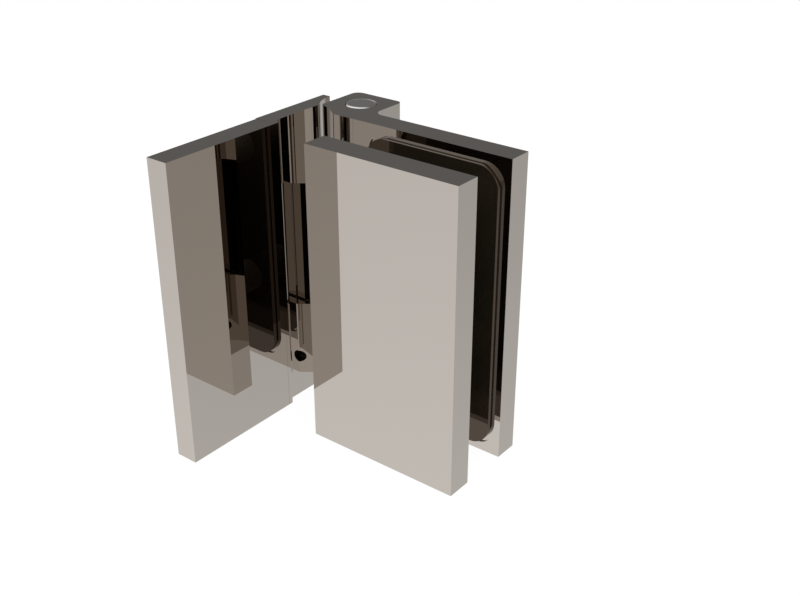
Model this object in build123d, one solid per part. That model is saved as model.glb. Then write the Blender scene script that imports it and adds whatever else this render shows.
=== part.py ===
from build123d import *
import math
import os

# Glass-to-wall hinge for a frameless door, in millimetres, +Z up.
# X runs out from the wall along the clamp plates, Y from the front plate towards the knuckles.
# Pieces are drawn round the pin axis, then moved so that the origin is the centre of the underside.

# Overall
hinge_height = 90.0
knuckle_width = 17.0          # square knuckle with the pin in its middle
knuckle_height = 24.8

# Knuckle corners in plan
knuckle_front_radius = 1.0    # corner beside the wall plate, glass side
knuckle_back_radius = 2.5     # corner beside the wall plate, outside
knuckle_end_radius = 1.75     # corner away from the wall, outside
knuckle_root_radius = 3.0     # inside corner between knuckle and back plate

# Nose between the back plate's glass side and the knuckle, in plan
nose_start = -0.1             # front edge, from the pin axis along the plate
nose_angle = 37.0             # slope of the flat beside the front edge
nose_depth = 2.9              # depth of that flat
nose_radius = 0.8             # its front edge
cheek_angle = 22.0            # slope of the second flat, up to the front corner

# Pivot
pin_diameter = 9.0
pin_recess = 0.15             # pin's lower end above the knuckle's
pin_stand = 0.25              # pin's upper end above the knuckle's
pin_edge_radius = 0.9
bore_chamfer = 0.1
bush_wall = 1.0
bush_length = 12.0
flange_radius = 7.0
flange_thickness = 0.5
lip_start = 2.9               # lip in front of the barrel, from the pin axis

# Clamp plates
clamp_reach = 59.35           # pin axis to the plates' free end
leaf_face_from_pin = 12.0     # pin axis to the glass side of the back plate
leaf_thickness = 7.4
front_plate_width = 49.1
front_plate_thickness = 7.9
glass_thickness = 12.0

# Gaskets, each in a shallow recess of its plate
gasket_thickness = 2.15
gasket_margin = 2.9           # from the plates' edges
gasket_corner = 6.3
recess_depth = 0.5
recess_border = 0.4           # recess outside the gasket
recess_corner = 5.0

# Clamp screws and their sleeves
clamp_screw_diameter = 6.0
clamp_screw_head = 11.4
clamp_screw_recess = 0.15
clamp_screw_grip = 5.6        # thread inside the front plate
clamp_screw_tip = 0.5         # room past the thread's end
clamp_screw_spacing = 46.0
clamp_socket_width = 4.0
clamp_socket_depth = 2.2
sleeve_wall = 2.2

# Wall plate and its cover
wall_plate_reach = 67.3       # pin axis to the plate's far edge
wall_plate_thickness = 7.5
rebate_thickness = 5.5        # plate beside the knuckles, and under the cover
step_from_pin = 26.9
step_radius = 2.8
shoulder_width = 1.3
cover_rim = 3.0
cover_lift = 0.45             # cover's rim to the wall
wall_hole_diameter = 6.0
wall_hole_head = 11.4
wall_hole_from_side = 9.0     # hole centres from the sides of the covered part
wall_hole_from_end = 15.0     # hole centres from the hinge's top and bottom

# Grub screws
pin_screw_diameter = 4.0
pin_screw_length = 5.0
pin_screw_height = 5.9
pin_screw_socket = 2.0
pin_flat_depth = 0.4
pin_flat_margin = 0.5
cover_screw_diameter = 3.0
cover_screw_recess = 0.2
cover_screw_socket = 1.5
cover_screw_spacing = 20.0
grub_socket_depth = 1.6

# Clearances
wall_gap = 0.3                # knuckle to wall plate
sweep_clearance = 0.8         # knuckle corners to the hollow in the wall plate
swing_clearance = 0.4         # leaf to barrel
axial_clearance = 0.1         # knuckle to bush flange
pin_clearance = 0.04          # radial, pin in knuckles and bushes
press_clearance = 0.02        # radial, pressed or screwed pieces
cover_clearance = 0.05        # cover to wall plate
glass_clearance = 0.05        # gasket to glass, each side
sleeve_clearance = 0.1        # sleeve to screw and to gasket

# Places worked out from the pin axis
half_knuckle = knuckle_width / 2
pin_radius = pin_diameter / 2
rebate_x = -half_knuckle - wall_gap
wall_x = rebate_x - rebate_thickness
wall_face_x = wall_x + wall_plate_thickness
wall_edge_y = -wall_plate_reach
step_y = -step_from_pin
seam_y = step_y - shoulder_width
tongue_edge_y = wall_edge_y + cover_rim + cover_clearance
tongue_bottom = cover_rim + cover_clearance
tongue_top = hinge_height - cover_rim
corner_reach = math.sqrt(2) * (half_knuckle - knuckle_back_radius) + knuckle_back_radius
sweep_radius = corner_reach + sweep_clearance

leaf_front_y = -leaf_face_from_pin
leaf_back_y = leaf_front_y + leaf_thickness
gasket_stand = gasket_thickness - recess_depth
clamp_gap = glass_thickness + 2 * (gasket_stand + glass_clearance)
front_inner_y = leaf_front_y - clamp_gap
front_outer_y = front_inner_y - front_plate_thickness
front_end_x = clamp_reach - front_plate_width
gasket_width = front_plate_width - 2 * gasket_margin
gasket_height = hinge_height - 2 * gasket_margin

nose_bend_x = nose_start - nose_depth / math.tan(math.radians(nose_angle))
nose_bend_y = leaf_front_y + nose_depth
cheek_width = nose_bend_x + half_knuckle
front_corner_y = nose_bend_y + cheek_width * math.tan(math.radians(cheek_angle))

upper_knuckle_z = hinge_height - knuckle_height
barrel_bottom = knuckle_height + axial_clearance + flange_thickness
barrel_top = hinge_height - barrel_bottom
bush_bore = pin_radius + pin_clearance
bush_radius = bush_bore + bush_wall
barrel_bore = bush_radius + press_clearance
barrel_radius = half_knuckle
barrel_front_x = lip_start - swing_clearance
pocket_radius = math.hypot(barrel_front_x, barrel_radius) + swing_clearance

clamp_screw_radius = clamp_screw_diameter / 2
clamp_screw_x = (front_end_x + clamp_reach) / 2
clamp_screw_low = (hinge_height - clamp_screw_spacing) / 2
clamp_screw_heights = (clamp_screw_low, clamp_screw_low + clamp_screw_spacing)
clamp_head_depth = (clamp_screw_head - clamp_screw_diameter) / 2
sleeve_bore = clamp_screw_radius + sleeve_clearance
sleeve_radius = sleeve_bore + sleeve_wall
sleeve_length = clamp_gap + 2 * recess_depth

wall_hole_ys = (tongue_edge_y + wall_hole_from_side, seam_y - wall_hole_from_side)
wall_hole_zs = (wall_hole_from_end, hinge_height - wall_hole_from_end)
wall_sink_depth = (wall_hole_head - wall_hole_diameter) / 2
cover_screw_x = wall_x + rebate_thickness / 2
cover_screw_mid_y = (tongue_edge_y + seam_y) / 2
cover_screw_ys = (
    cover_screw_mid_y - cover_screw_spacing / 2,
    cover_screw_mid_y + cover_screw_spacing / 2,
)
pin_flat_y = pin_flat_depth - pin_radius

origin_x = (wall_x + clamp_reach) / 2
origin_y = (wall_edge_y + half_knuckle) / 2


def block(x0, x1, y0, y1, z0, z1):
    """Box between two corners."""
    middle = Pos((x0 + x1) / 2, (y0 + y1) / 2, (z0 + z1) / 2)
    return middle * Box(x1 - x0, y1 - y0, z1 - z0)


def post(radius, z0, z1, x=0.0, y=0.0):
    """Upright cylinder."""
    return Pos(x, y, (z0 + z1) / 2) * Cylinder(radius, z1 - z0)


def cone_up(low_radius, high_radius, z0, z1):
    """Upright cone on the pin axis."""
    return Pos(0, 0, (z0 + z1) / 2) * Cone(low_radius, high_radius, z1 - z0)


def towards_front(shape, x, y, z):
    """Turns an upright shape to run along -Y from a point."""
    return Pos(x, y, z) * Rot(90, 0, 0) * shape


def towards_back(shape, x, y, z):
    """Turns an upright shape to run along +Y from a point."""
    return Pos(x, y, z) * Rot(-90, 0, 0) * shape


def towards_wall(shape, x, y, z):
    """Turns an upright shape to run along -X from a point."""
    return Pos(x, y, z) * Rot(0, -90, 0) * shape


def shank(radius, length):
    """Cylinder standing on its own origin."""
    return Pos(0, 0, length / 2) * Cylinder(radius, length)


def countersink(head_radius, shank_radius, depth):
    """Cone standing on its own origin, wide end down."""
    return Pos(0, 0, depth / 2) * Cone(head_radius, shank_radius, depth)


def hex_socket(width, depth):
    """Six-sided prism standing on its own origin."""
    return extrude(RegularPolygon(width / 2, 6, major_radius=False), depth)


def tube(outer_radius, inner_radius, z0, z1):
    """Upright tube on the pin axis."""
    return post(outer_radius, z0, z1) - post(inner_radius, z0, z1)


def round_corner(plan, x, y, radius):
    """Plan with the corner nearest to a point rounded."""
    corner = plan.vertices().sort_by_distance((x, y, 0))[0]
    return fillet(corner, radius)


def leaf_plan():
    """Plan of the back plate and the knuckle, in one outline with a nose of two flats."""
    outline = Polyline(
        (-half_knuckle, front_corner_y),
        (-half_knuckle, half_knuckle),
        (half_knuckle, half_knuckle),
        (half_knuckle, leaf_back_y),
        (clamp_reach, leaf_back_y),
        (clamp_reach, leaf_front_y),
        (nose_start, leaf_front_y),
        (nose_bend_x, nose_bend_y),
        close=True,
    )
    plan = make_face(outline)
    plan = round_corner(plan, nose_start, leaf_front_y, nose_radius)
    plan = round_corner(plan, -half_knuckle, front_corner_y, knuckle_front_radius)
    plan = round_corner(plan, -half_knuckle, half_knuckle, knuckle_back_radius)
    plan = round_corner(plan, half_knuckle, half_knuckle, knuckle_end_radius)
    return round_corner(plan, half_knuckle, leaf_back_y, knuckle_root_radius)


def barrel_room():
    """Space between the knuckles that the barrel and its web need while the leaf swings."""
    z0, z1 = knuckle_height, upper_knuckle_z
    left = -knuckle_width
    room = post(pocket_radius, z0, z1)
    room += block(left, lip_start, 2 * leaf_front_y, knuckle_width, z0, z1)
    root_x = half_knuckle + knuckle_root_radius
    return room + block(left, root_x, leaf_back_y, knuckle_width, z0, z1)


def knuckle_bore():
    """Bore for the pin with a small chamfer at each mouth."""
    radius = pin_radius + pin_clearance
    mouth = radius + bore_chamfer
    bore = post(radius, 0, hinge_height)
    bore += cone_up(mouth, radius, 0, bore_chamfer)
    return bore + cone_up(radius, mouth, hinge_height - bore_chamfer, hinge_height)


def clamp_screw_hole(z):
    """Countersunk hole through the back plate."""
    mouth = clamp_screw_head / 2 + press_clearance
    hole = shank(sleeve_bore, leaf_thickness) + shank(mouth, clamp_screw_recess)
    sink = countersink(mouth, clamp_screw_radius + press_clearance, clamp_head_depth)
    hole += Pos(0, 0, clamp_screw_recess) * sink
    return towards_front(hole, clamp_screw_x, leaf_back_y, z)


def gasket_recess():
    """Seat of a gasket, standing on its own origin."""
    width = gasket_width + 2 * recess_border
    height = gasket_height + 2 * recess_border
    return extrude(RectangleRounded(width, height, recess_corner), recess_depth)


def clamp_leaf():
    leaf = extrude(leaf_plan(), hinge_height) - barrel_room() - knuckle_bore()
    leaf -= towards_back(gasket_recess(), clamp_screw_x, leaf_front_y, hinge_height / 2)
    grub_hole = shank(pin_screw_diameter / 2 + press_clearance, leaf_face_from_pin)
    leaf -= towards_front(grub_hole, 0, 0, pin_screw_height)
    for z in clamp_screw_heights:
        leaf -= clamp_screw_hole(z)
    return leaf


def clamp_plate():
    plate = block(front_end_x, clamp_reach, front_outer_y, front_inner_y, 0, hinge_height)
    plate -= towards_front(gasket_recess(), clamp_screw_x, front_inner_y, hinge_height / 2)
    thread = shank(clamp_screw_radius + press_clearance, clamp_screw_grip + clamp_screw_tip)
    for z in clamp_screw_heights:
        plate -= towards_front(thread, clamp_screw_x, front_inner_y, z)
    return plate


def clamp_screws():
    """Countersunk screws from the outside of the back plate into the front plate."""
    head_y = leaf_back_y - clamp_screw_recess
    length = head_y - front_inner_y + clamp_screw_grip
    screw = shank(clamp_screw_radius, length)
    screw += countersink(clamp_screw_head / 2, clamp_screw_radius, clamp_head_depth)
    screw -= hex_socket(clamp_socket_width, clamp_socket_depth)
    return [towards_front(screw, clamp_screw_x, head_y, z) for z in clamp_screw_heights]


def glass_sleeves():
    """Plastic tubes that keep the clamp screws off the glass."""
    sleeve = shank(sleeve_radius, sleeve_length) - shank(sleeve_bore, sleeve_length)
    seat_y = leaf_front_y + recess_depth
    return [towards_front(sleeve, clamp_screw_x, seat_y, z) for z in clamp_screw_heights]


def gasket():
    """Rubber sheet with holes for the sleeves, standing on its own origin."""
    sheet = extrude(RectangleRounded(gasket_width, gasket_height, gasket_corner), gasket_thickness)
    hole = shank(sleeve_radius + sleeve_clearance, gasket_thickness)
    for y in (-clamp_screw_spacing / 2, clamp_screw_spacing / 2):
        sheet -= Pos(0, y, 0) * hole
    return sheet


def back_gasket():
    return towards_front(gasket(), clamp_screw_x, leaf_front_y + recess_depth, hinge_height / 2)


def front_gasket():
    return towards_back(gasket(), clamp_screw_x, front_inner_y - recess_depth, hinge_height / 2)


def wall_screw_hole(y, z):
    """Countersunk hole for a wall screw, from the covered face."""
    hole = shank(wall_hole_diameter / 2, rebate_thickness)
    hole += countersink(wall_hole_head / 2, wall_hole_diameter / 2, wall_sink_depth)
    return towards_wall(hole, rebate_x, y, z)


def step_root():
    """Hollow-rounded foot of the step."""
    depth = wall_plate_thickness - rebate_thickness
    length = math.sqrt(2 * step_radius * depth - depth**2)
    foot = block(rebate_x, wall_face_x, step_y, step_y + length, 0, hinge_height)
    return foot - post(step_radius, 0, hinge_height, rebate_x + step_radius, step_y + length)


def wall_base():
    plate = block(wall_x, rebate_x, seam_y, 0, 0, hinge_height)
    plate += block(wall_x, wall_face_x, seam_y, step_y, 0, hinge_height)
    plate += step_root()
    plate += block(wall_x, rebate_x, tongue_edge_y, seam_y, tongue_bottom, tongue_top)
    plate -= post(sweep_radius, 0, barrel_bottom)
    plate -= post(sweep_radius, barrel_top, hinge_height)
    plate += block(wall_x, barrel_front_x, -barrel_radius, 0, barrel_bottom, barrel_top)
    plate += post(barrel_radius, barrel_bottom, barrel_top)
    plate -= post(barrel_bore, barrel_bottom, barrel_top)
    for y in wall_hole_ys:
        for z in wall_hole_zs:
            plate -= wall_screw_hole(y, z)
    return plate


def wall_cover():
    """Hollow cover over the screwed half of the wall plate, open towards the wall and the shoulder."""
    back_x = wall_x + cover_lift
    cover = block(
        back_x, wall_face_x, wall_edge_y, seam_y - cover_clearance, 0, hinge_height
    )
    cover -= block(
        wall_x, rebate_x, wall_edge_y + cover_rim, seam_y, cover_rim, tongue_top
    )
    for y in cover_screw_ys:
        cover -= post(cover_screw_diameter / 2 + press_clearance, 0, cover_rim, cover_screw_x, y)
    return cover


def grub_screw(diameter, length, socket_width):
    """Headless screw standing on its socket end."""
    return shank(diameter / 2, length) - hex_socket(socket_width, grub_socket_depth)


def cover_screws():
    """Grub screws in the cover's lower rim, their ends on the wall plate's edge."""
    length = tongue_bottom - cover_screw_recess
    screw = grub_screw(cover_screw_diameter, length, cover_screw_socket)
    return [Pos(cover_screw_x, y, cover_screw_recess) * screw for y in cover_screw_ys]


def pin_screw():
    """Grub screw in the lower knuckle, its end on the pin's flat."""
    screw = grub_screw(pin_screw_diameter, pin_screw_length, pin_screw_socket)
    return Pos(0, pin_flat_y - pin_screw_length, pin_screw_height) * Rot(-90, 0, 0) * screw


def hinge_pin():
    pin = post(pin_radius, pin_recess, hinge_height + pin_stand)
    pin = fillet(pin.edges().filter_by(GeomType.CIRCLE), pin_edge_radius)
    half_flat = pin_screw_diameter / 2 + pin_flat_margin
    return pin - block(
        -pin_radius, pin_radius, -pin_diameter, pin_flat_y,
        pin_screw_height - half_flat, pin_screw_height + half_flat,
    )


def upper_bush():
    sleeve = tube(bush_radius, bush_bore, barrel_top - bush_length, barrel_top)
    return sleeve + tube(flange_radius, bush_bore, barrel_top, barrel_top + flange_thickness)


def lower_bush():
    sleeve = tube(bush_radius, bush_bore, barrel_bottom, barrel_bottom + bush_length)
    return sleeve + tube(flange_radius, bush_bore, barrel_bottom - flange_thickness, barrel_bottom)


pieces = {
    "wall_base": wall_base(),
    "wall_cover": wall_cover(),
    "cover_screws": Compound(cover_screws()),
    "upper_bush": upper_bush(),
    "lower_bush": lower_bush(),
    "hinge_pin": hinge_pin(),
    "pin_screw": pin_screw(),
    "clamp_leaf": clamp_leaf(),
    "clamp_plate": clamp_plate(),
    "clamp_screws": Compound(clamp_screws()),
    "glass_sleeves": Compound(glass_sleeves()),
    "back_gasket": back_gasket(),
    "front_gasket": front_gasket(),
}

os.makedirs("parts", exist_ok=True)
for name, piece in pieces.items():
    export_step(Pos(-origin_x, -origin_y, 0) * piece, f"parts/{name}.step")
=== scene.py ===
import math

import bpy
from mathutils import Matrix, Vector


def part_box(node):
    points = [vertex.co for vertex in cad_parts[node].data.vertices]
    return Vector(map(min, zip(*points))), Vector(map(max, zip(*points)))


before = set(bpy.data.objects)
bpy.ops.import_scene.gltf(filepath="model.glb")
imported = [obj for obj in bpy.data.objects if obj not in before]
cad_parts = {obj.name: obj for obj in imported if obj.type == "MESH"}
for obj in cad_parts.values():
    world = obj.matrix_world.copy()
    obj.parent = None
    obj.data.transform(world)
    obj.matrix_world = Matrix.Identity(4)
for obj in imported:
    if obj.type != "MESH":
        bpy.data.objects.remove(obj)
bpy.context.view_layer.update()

scene = bpy.context.scene
MM = 0.001

# Camera, solved from the plates' corners
camera_place = (0.177841, -0.208547, 0.186756)
camera_aim = (-0.5484, 0.7011, -0.4559)
lens_mm = 50.46
sensor_mm = 36.0
nearest_seen = 0.001

# Surroundings, as levels of white by direction
white_level = 0.59                     # level with no slope
white_slope = (-0.066, -0.16, -0.525)  # change of it along X, Y and Z
horizon_height = 0.2                   # Z up to which the white fades into the ceiling
ceiling_level = 0.17
ceiling_front = 0.6                    # Y where the ceiling ends
lamp_bank_level = 1.2
lamp_bank_back = -0.2                  # Y where the bank of lamps begins
matt_level = 0.5                       # for surfaces that mirror nothing
background_level = 1.0

# Floor and lamp
floor_reach = 3.0
floor_white_share = 0.9                # of what the camera sees; the rest is the lit floor, for the shadow
floor_white_level = 1.05
lamp_place = Vector((0.18, -0.23, 0.62))
lamp_target = Vector((0.0, 0.0, 0.04))
lamp_side = 0.8
lamp_watts = 4.0

# Mirrors face each other in the slot and beside the knuckles, so reflections go deep,
# and none of their first bounces is left to chance, which would leave grain in them.
deepest_bounce = 28
deepest_mirror_bounce = 24
sure_bounces = 12


def linear(hex_colour):
    """Turns an sRGB hex colour into linear red, green, blue and alpha."""
    values = [int(hex_colour[i:i + 2], 16) / 255 for i in (1, 3, 5)]
    return [v / 12.92 if v <= 0.04045 else ((v + 0.055) / 1.055) ** 2.4 for v in values] + [1.0]


def add(tree, kind, settings=None, values=None, links=None):
    """Adds a node, with its settings, its sockets' values and the sockets that feed it."""
    node = tree.nodes.new(kind)
    for name, value in (settings or {}).items():
        setattr(node, name, value)
    for name, value in (values or {}).items():
        node.inputs[name].default_value = value
    for name, source in (links or {}).items():
        tree.links.new(source, node.inputs[name])
    return node


def per_mm(size_mm):
    """Texture scale at which one feature of a noise is that many millimetres wide."""
    return 1 / (size_mm * MM)


def new_material(name):
    """Material with its node tree and its shader."""
    material = bpy.data.materials.new(name)
    material.use_nodes = True
    tree = material.node_tree
    return material, tree, tree.nodes["Principled BSDF"]


def polished_nickel_plating():
    """Brass, buffed and nickel-plated: a warm grey mirror with a breath of polishing haze
    and the slow ripple that a bright plating bath leaves."""
    material, tree, shader = new_material("polished_nickel_plating")
    shader.inputs["Metallic"].default_value = 1.0
    place = add(tree, "ShaderNodeTexCoord").outputs["Object"]
    drift_mm = 35.0
    drift = add(
        tree, "ShaderNodeTexNoise",
        values={"Scale": per_mm(drift_mm), "Detail": 2.0}, links={"Vector": place},
    )
    tone = add(
        tree, "ShaderNodeMix", {"data_type": "RGBA"},
        {"A": linear("#bcb5ae"), "B": linear("#beb7b0")}, {"Factor": drift.outputs["Fac"]},
    )
    tree.links.new(tone.outputs["Result"], shader.inputs["Base Color"])
    # Buffing leaves lines along the plates; the real 0.05 mm is drawn six times as wide.
    buffing_mm = 0.3
    along = add(
        tree, "ShaderNodeMapping", values={"Scale": (1.0, 1.0, 0.02)}, links={"Vector": place}
    )
    buffing = add(
        tree, "ShaderNodeTexNoise",
        values={"Scale": per_mm(buffing_mm), "Detail": 3.0},
        links={"Vector": along.outputs["Vector"]},
    )
    haze = add(
        tree, "ShaderNodeMapRange", values={"To Min": 0.004, "To Max": 0.008},
        links={"Value": buffing.outputs["Fac"]},
    )
    tree.links.new(haze.outputs["Result"], shader.inputs["Roughness"])
    ripple_mm = 9.0
    ripple = add(
        tree, "ShaderNodeTexNoise",
        values={"Scale": per_mm(ripple_mm), "Detail": 1.0}, links={"Vector": place},
    )
    bump = add(
        tree, "ShaderNodeBump", values={"Strength": 0.05, "Distance": 0.01 * MM},
        links={"Height": ripple.outputs["Fac"]},
    )
    tree.links.new(bump.outputs["Normal"], shader.inputs["Normal"])
    return material


def turned_stainless_steel(axis_x, axis_y):
    """Stainless bar turned on a lathe: fine rings round its axis that soften the mirror."""
    material, tree, shader = new_material("turned_stainless_steel")
    shader.inputs["Metallic"].default_value = 1.0
    place = add(tree, "ShaderNodeTexCoord").outputs["Object"]
    centred = add(
        tree, "ShaderNodeMapping", values={"Location": (-axis_x, -axis_y, 0.0)},
        links={"Vector": place},
    )
    # The rings of a finishing cut, about 0.06 mm apart, are drawn three times as wide.
    ring_mm = 0.18
    rings = add(
        tree, "ShaderNodeTexWave", {"wave_type": "RINGS", "rings_direction": "Z"},
        {"Scale": math.pi / 10 * per_mm(ring_mm), "Distortion": 0.6, "Detail": 1.0},
        {"Vector": centred.outputs["Vector"]},
    )
    tone = add(
        tree, "ShaderNodeMix", {"data_type": "RGBA"},
        {"A": linear("#d2d0cb"), "B": linear("#dad8d3")}, {"Factor": rings.outputs["Fac"]},
    )
    tree.links.new(tone.outputs["Result"], shader.inputs["Base Color"])
    polish = add(
        tree, "ShaderNodeMapRange", values={"To Min": 0.08, "To Max": 0.14},
        links={"Value": rings.outputs["Fac"]},
    )
    tree.links.new(polish.outputs["Result"], shader.inputs["Roughness"])
    bump = add(
        tree, "ShaderNodeBump", values={"Strength": 0.02, "Distance": 0.005 * MM},
        links={"Height": rings.outputs["Fac"]},
    )
    tree.links.new(bump.outputs["Normal"], shader.inputs["Normal"])
    return material


def tumbled_stainless_steel():
    """Cold-headed stainless screws, tumbled clean: a dull grey metal with small marks."""
    material, tree, shader = new_material("tumbled_stainless_steel")
    shader.inputs["Metallic"].default_value = 1.0
    place = add(tree, "ShaderNodeTexCoord").outputs["Object"]
    mark_mm = 0.5
    marks = add(
        tree, "ShaderNodeTexNoise",
        values={"Scale": per_mm(mark_mm), "Detail": 4.0}, links={"Vector": place},
    )
    tone = add(
        tree, "ShaderNodeMix", {"data_type": "RGBA"},
        {"A": linear("#b2b1ae"), "B": linear("#c6c5c2")}, {"Factor": marks.outputs["Fac"]},
    )
    tree.links.new(tone.outputs["Result"], shader.inputs["Base Color"])
    dullness = add(
        tree, "ShaderNodeMapRange", values={"To Min": 0.16, "To Max": 0.34},
        links={"Value": marks.outputs["Fac"]},
    )
    tree.links.new(dullness.outputs["Result"], shader.inputs["Roughness"])
    bump = add(
        tree, "ShaderNodeBump", values={"Strength": 0.12, "Distance": 0.01 * MM},
        links={"Height": marks.outputs["Fac"]},
    )
    tree.links.new(bump.outputs["Normal"], shader.inputs["Normal"])
    return material


def blackened_steel():
    """Hardened grub screw, blackened in a hot salt bath: a thin dark oxide with a dull sheen."""
    material, tree, shader = new_material("blackened_steel")
    shader.inputs["Metallic"].default_value = 1.0
    place = add(tree, "ShaderNodeTexCoord").outputs["Object"]
    oxide_mm = 0.4
    oxide = add(
        tree, "ShaderNodeTexNoise",
        values={"Scale": per_mm(oxide_mm), "Detail": 3.0}, links={"Vector": place},
    )
    tone = add(
        tree, "ShaderNodeMix", {"data_type": "RGBA"},
        {"A": linear("#2a2a2b"), "B": linear("#343435")}, {"Factor": oxide.outputs["Fac"]},
    )
    tree.links.new(tone.outputs["Result"], shader.inputs["Base Color"])
    sheen = add(
        tree, "ShaderNodeMapRange", values={"To Min": 0.3, "To Max": 0.45},
        links={"Value": oxide.outputs["Fac"]},
    )
    tree.links.new(sheen.outputs["Result"], shader.inputs["Roughness"])
    return material


def moulded_rubber():
    """Brown-black rubber sheet from a polished mould: dark, smooth and shiny,
    with a very fine grain."""
    material, tree, shader = new_material("moulded_rubber")
    place = add(tree, "ShaderNodeTexCoord").outputs["Object"]
    cloud_mm = 6.0
    cloud = add(
        tree, "ShaderNodeTexNoise",
        values={"Scale": per_mm(cloud_mm), "Detail": 3.0}, links={"Vector": place},
    )
    tone = add(
        tree, "ShaderNodeMix", {"data_type": "RGBA"},
        {"A": linear("#221d16"), "B": linear("#272119")}, {"Factor": cloud.outputs["Fac"]},
    )
    tree.links.new(tone.outputs["Result"], shader.inputs["Base Color"])
    # The mould's real grain, about 0.05 mm, is drawn five times as wide.
    grain_mm = 0.25
    grain = add(
        tree, "ShaderNodeTexNoise",
        values={"Scale": per_mm(grain_mm), "Detail": 2.0}, links={"Vector": place},
    )
    shine = add(
        tree, "ShaderNodeMapRange", values={"To Min": 0.03, "To Max": 0.05},
        links={"Value": grain.outputs["Fac"]},
    )
    tree.links.new(shine.outputs["Result"], shader.inputs["Roughness"])
    shader.inputs["IOR"].default_value = 1.65
    shader.inputs["Specular Tint"].default_value = linear("#ffdfc4")
    bump = add(
        tree, "ShaderNodeBump", values={"Strength": 0.05, "Distance": 0.01 * MM},
        links={"Height": grain.outputs["Fac"]},
    )
    tree.links.new(bump.outputs["Normal"], shader.inputs["Normal"])
    return material


def moulded_acetal():
    """Natural acetal from an injection mould: milky off-white, satin, a little light inside it."""
    material, tree, shader = new_material("moulded_acetal")
    place = add(tree, "ShaderNodeTexCoord").outputs["Object"]
    flow_mm = 4.0
    flow = add(
        tree, "ShaderNodeTexNoise",
        values={"Scale": per_mm(flow_mm), "Detail": 2.0}, links={"Vector": place},
    )
    tone = add(
        tree, "ShaderNodeMix", {"data_type": "RGBA"},
        {"A": linear("#e2e0d9"), "B": linear("#ebe9e3")}, {"Factor": flow.outputs["Fac"]},
    )
    tree.links.new(tone.outputs["Result"], shader.inputs["Base Color"])
    satin = add(
        tree, "ShaderNodeMapRange", values={"To Min": 0.34, "To Max": 0.44},
        links={"Value": flow.outputs["Fac"]},
    )
    tree.links.new(satin.outputs["Result"], shader.inputs["Roughness"])
    shader.inputs["IOR"].default_value = 1.48
    shader.inputs["Subsurface Weight"].default_value = 0.15
    shader.inputs["Subsurface Scale"].default_value = 0.6 * MM
    return material


# Finishes of the pieces
low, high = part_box("hinge_pin")
nickel = polished_nickel_plating()
turned = turned_stainless_steel((low.x + high.x) / 2, (low.y + high.y) / 2)
tumbled = tumbled_stainless_steel()
blackened = blackened_steel()
rubber = moulded_rubber()
acetal = moulded_acetal()
finishes = {
    "wall_base": nickel,
    "wall_cover": nickel,
    "clamp_leaf": nickel,
    "clamp_plate": nickel,
    "hinge_pin": turned,
    "pin_screw": blackened,
    "cover_screws": blackened,
    "clamp_screws": tumbled,
    "back_gasket": rubber,
    "front_gasket": rubber,
    "upper_bush": acetal,
    "lower_bush": acetal,
    "glass_sleeves": acetal,
}
for node_name, finish in finishes.items():
    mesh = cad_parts[node_name].data
    mesh.materials.clear()
    mesh.materials.append(finish)


def studio_surroundings():
    """Plain studio: white all round and below, brighter towards the front and the floor;
    overhead a bank of lamps in front and a grey ceiling behind."""
    world = bpy.data.worlds.new("studio_surroundings")
    scene.world = world
    world.use_nodes = True
    tree = world.node_tree
    direction = add(tree, "ShaderNodeTexCoord").outputs["Generated"]
    slope = add(
        tree, "ShaderNodeVectorMath", {"operation": "DOT_PRODUCT"}, {1: white_slope}, {0: direction}
    )
    below = add(
        tree, "ShaderNodeMath", {"operation": "ADD"}, {1: white_level}, {0: slope.outputs["Value"]}
    )
    axes = add(tree, "ShaderNodeSeparateXYZ", links={"Vector": direction})
    upper = add(
        tree, "ShaderNodeMapRange", {"interpolation_type": "SMOOTHSTEP"},
        {"From Min": 0.0, "From Max": horizon_height}, {"Value": axes.outputs["Z"]},
    )
    overhead = add(
        tree, "ShaderNodeMapRange", {"interpolation_type": "SMOOTHSTEP"},
        {
            "From Min": ceiling_front, "From Max": lamp_bank_back,
            "To Min": ceiling_level, "To Max": lamp_bank_level,
        },
        {"Value": axes.outputs["Y"]},
    )
    around = add(
        tree, "ShaderNodeMix", {"data_type": "FLOAT"},
        links={
            "Factor": upper.outputs["Result"],
            "A": below.outputs["Value"],
            "B": overhead.outputs["Result"],
        },
    )
    path = add(tree, "ShaderNodeLightPath")
    mirrored = add(
        tree, "ShaderNodeMath", {"operation": "MAXIMUM"},
        links={0: path.outputs["Is Glossy Ray"], 1: path.outputs["Is Transmission Ray"]},
    )
    lit = add(
        tree, "ShaderNodeMix", {"data_type": "FLOAT"}, {"A": matt_level},
        {"Factor": mirrored.outputs["Value"], "B": around.outputs["Result"]},
    )
    seen = add(
        tree, "ShaderNodeMix", {"data_type": "FLOAT"}, {"B": background_level},
        {"Factor": path.outputs["Is Camera Ray"], "A": lit.outputs["Result"]},
    )
    background = tree.nodes["Background"]
    background.inputs["Color"].default_value = linear("#ffffff")
    tree.links.new(seen.outputs["Result"], background.inputs["Strength"])


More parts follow.
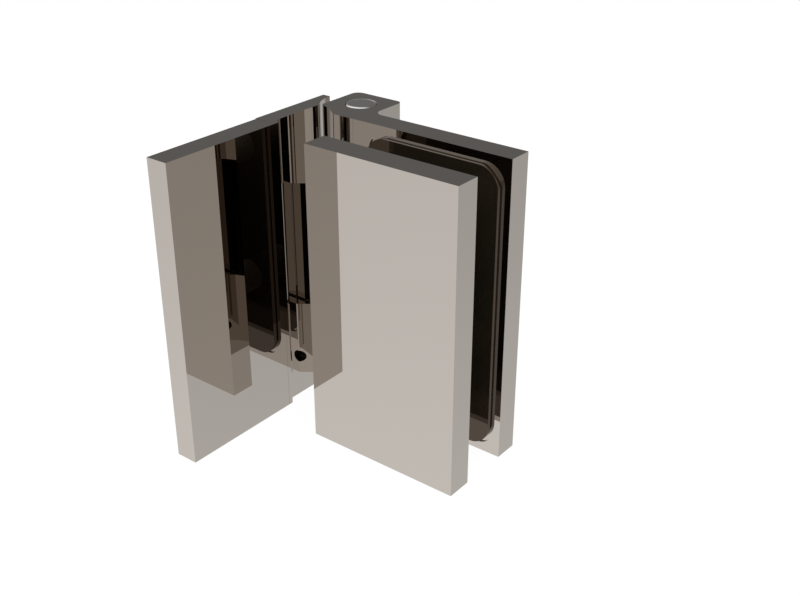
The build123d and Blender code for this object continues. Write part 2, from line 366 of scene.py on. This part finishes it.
def pale_floor():
    """White floor that keeps a soft shadow of the hinge."""
    corners = [
        (-floor_reach, -floor_reach, 0),
        (floor_reach, -floor_reach, 0),
        (floor_reach, floor_reach, 0),
        (-floor_reach, floor_reach, 0),
    ]
    mesh = bpy.data.meshes.new("pale_floor")
    mesh.from_pydata(corners, [], [(0, 1, 2, 3)])
    floor = bpy.data.objects.new("pale_floor", mesh)
    scene.collection.objects.link(floor)
    material, tree, shader = new_material("white_studio_floor")
    shader.inputs["Base Color"].default_value = linear("#f2f2f1")
    shader.inputs["Roughness"].default_value = 0.9
    shader.inputs["Specular IOR Level"].default_value = 0.0
    white = add(tree, "ShaderNodeEmission", values={"Strength": floor_white_level})
    path = add(tree, "ShaderNodeLightPath")
    clean = add(
        tree, "ShaderNodeMath", {"operation": "MULTIPLY"}, {1: floor_white_share},
        {0: path.outputs["Is Camera Ray"]},
    )
    mixed = add(
        tree, "ShaderNodeMixShader",
        links={0: clean.outputs["Value"], 1: shader.outputs["BSDF"], 2: white.outputs["Emission"]},
    )
    tree.links.new(mixed.outputs["Shader"], tree.nodes["Material Output"].inputs["Surface"])
    mesh.materials.append(material)
    # Mirrors take the floor's white from the surroundings, which are white below too.
    floor.visible_glossy = False


def softbox():
    """Large soft lamp over the front of the hinge."""
    lamp = bpy.data.lights.new("softbox", "AREA")
    lamp.shape = "SQUARE"
    lamp.size = lamp_side
    lamp.energy = lamp_watts
    holder = bpy.data.objects.new("softbox", lamp)
    scene.collection.objects.link(holder)
    holder.location = lamp_place
    holder.rotation_mode = "QUATERNION"
    holder.rotation_quaternion = (lamp_target - lamp_place).to_track_quat("-Z", "Y")
    # Mirrors take the lamps' white from the surroundings, which have the bank of lamps overhead.
    holder.visible_glossy = False


def photo_camera():
    """Camera at the place from which the hinge was pictured."""
    lens = bpy.data.cameras.new("photo_camera")
    lens.sensor_width = sensor_mm
    lens.lens = lens_mm
    lens.clip_start = nearest_seen
    camera = bpy.data.objects.new("photo_camera", lens)
    scene.collection.objects.link(camera)
    camera.location = camera_place
    camera.rotation_mode = "QUATERNION"
    camera.rotation_quaternion = Vector(camera_aim).to_track_quat("-Z", "Y")
    scene.camera = camera


studio_surroundings()
pale_floor()
softbox()
photo_camera()
scene.view_settings.view_transform = "Standard"
scene.cycles.max_bounces = deepest_bounce
scene.cycles.glossy_bounces = deepest_mirror_bounce
scene.cycles.min_light_bounces = sure_bounces
